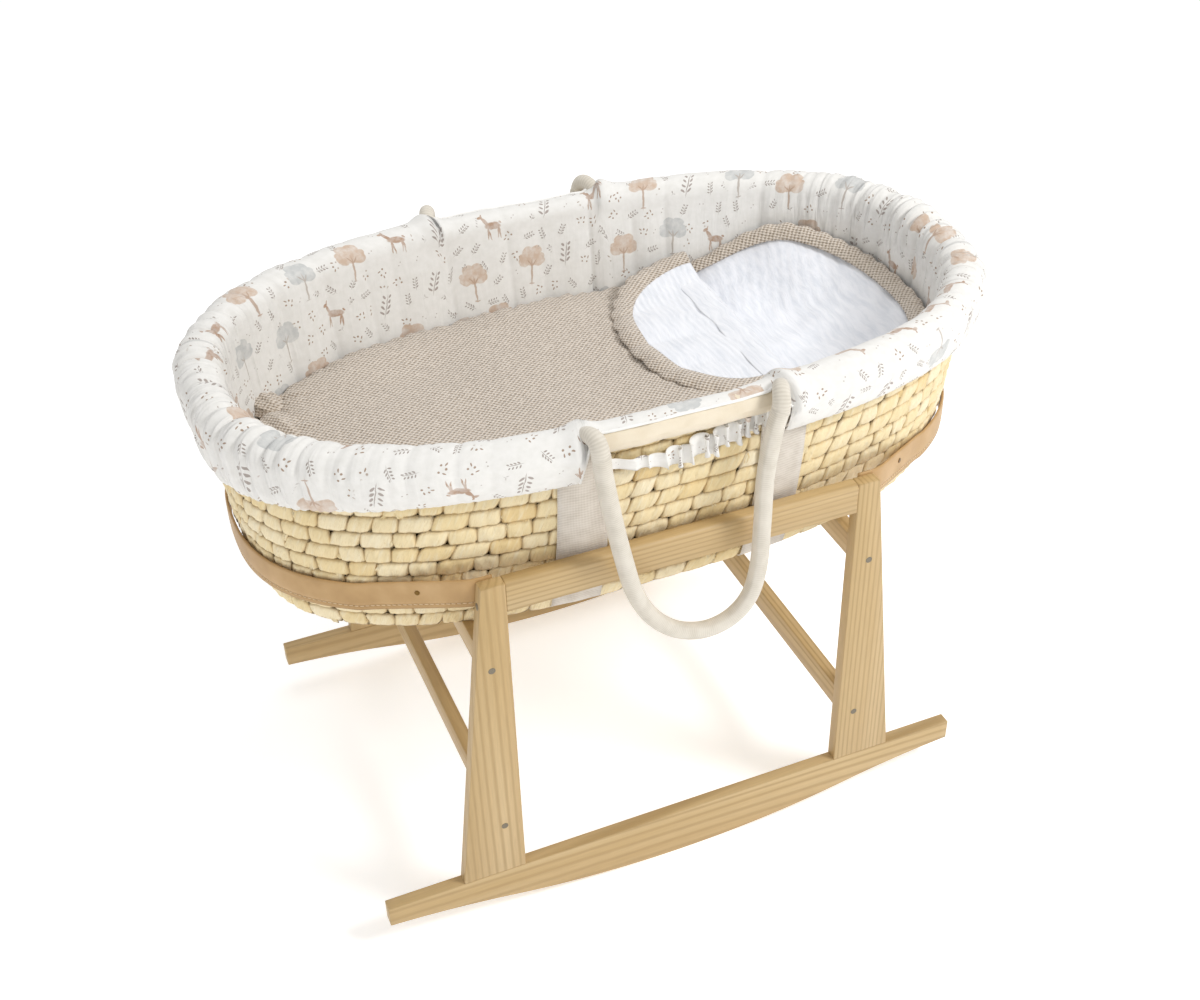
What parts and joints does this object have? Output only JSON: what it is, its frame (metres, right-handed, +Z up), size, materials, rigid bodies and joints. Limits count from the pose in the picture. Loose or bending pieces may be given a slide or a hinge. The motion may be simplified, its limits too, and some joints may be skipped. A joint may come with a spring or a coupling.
{
  "type": "moses basket on a rocking stand",
  "caption": "Oval woven carrying basket with a padded liner, quilt and rope handles, resting between two leather straps on a rocking pine stand.",
  "frame": {"origin": "on the floor under the middle of the stand, at the lowest line of the rockers", "axes": "+X along the basket towards the head end, -Y the front side, +Z up"},
  "size_m": [0.858, 0.531, 0.6134],
  "materials": {
    "pine": "planed pine, clear matt varnish",
    "steel_screw": "zinc-plated",
    "beech_dowel": "plain",
    "leather": "tan, folded and stitched",
    "brass_rivet": "antique",
    "maize_husk": "twisted and woven dry husk",
    "cotton_binding": "plain weave",
    "printed_cotton": "plain weave, printed",
    "cotton_tape": "webbing",
    "handle_twill": "twill",
    "jute_rope": "twisted",
    "mattress_cover": "plain weave",
    "beige_knit": "moss stitch",
    "white_muslin": "double gauze"
  },
  "bodies": {
    "stand": {"front_rocker": "pine", "rear_rocker": "pine", "front_left_upright": "pine", "front_right_upright": "pine", "rear_left_upright": "pine", "rear_right_upright": "pine", "front_top_rail": "pine", "rear_top_rail": "pine", "left_upper_crossbar": "pine", "right_upper_crossbar": "pine", "left_lower_crossbar": "pine", "right_lower_crossbar": "pine", "crossbar_screws": "steel_screw", "rail_screws": "steel_screw", "rocker_dowels": "beech_dowel", "left_leather_strap": "leather", "right_leather_strap": "leather", "strap_screws": "steel_screw", "strap_rivets": "brass_rivet"},
    "basket": {"basket_base": "maize_husk", "basket_wall": "maize_husk", "rim_binding": "cotton_binding", "liner": "printed_cotton", "front_ruffle": "printed_cotton", "rear_ruffle": "printed_cotton", "left_carry_tape": "cotton_tape", "right_carry_tape": "cotton_tape"},
    "front_handle": {"front_handle_cover": "handle_twill", "front_handle_rope": "jute_rope"},
    "rear_handle": {"rear_handle_cover": "handle_twill", "rear_handle_rope": "jute_rope"},
    "mattress_pad": {"mattress": "mattress_cover"},
    "quilt": {"quilt_under_layer": "beige_knit", "quilt_over_layer": "beige_knit", "under_muslin": "white_muslin", "head_trim": "beige_knit"},
    "flap": {"flap_knit": "beige_knit", "flap_muslin": "white_muslin", "flap_trim": "beige_knit"}
  },
  "joints": [
    {"name": "basket_lift", "type": "slide", "parent": "stand", "child": "basket", "axis": [0, 0, 1], "range_m": [0, 0.3]},
    {"name": "front_handle_swing", "type": "hinge", "parent": "basket", "child": "front_handle", "pos_m": [0, -0.256, 0.598], "axis": [-1, 0, 0], "range_deg": [-2, 210]},
    {"name": "rear_handle_swing", "type": "hinge", "parent": "basket", "child": "rear_handle", "pos_m": [0, 0.256, 0.598], "axis": [1, 0, 0], "range_deg": [-2, 210]},
    {"name": "mattress_lift", "type": "slide", "parent": "basket", "child": "mattress_pad", "axis": [0, 0, 1], "range_m": [0, 0.25]},
    {"name": "quilt_lift", "type": "slide", "parent": "mattress_pad", "child": "quilt", "axis": [0, 0, 1], "range_m": [0, 0.25]},
    {"name": "flap_fold", "type": "hinge", "parent": "quilt", "child": "flap", "pos_m": [0.184, 0, 0.51025], "axis": [0, 1, 0], "range_deg": [0, 175]}
  ]
}
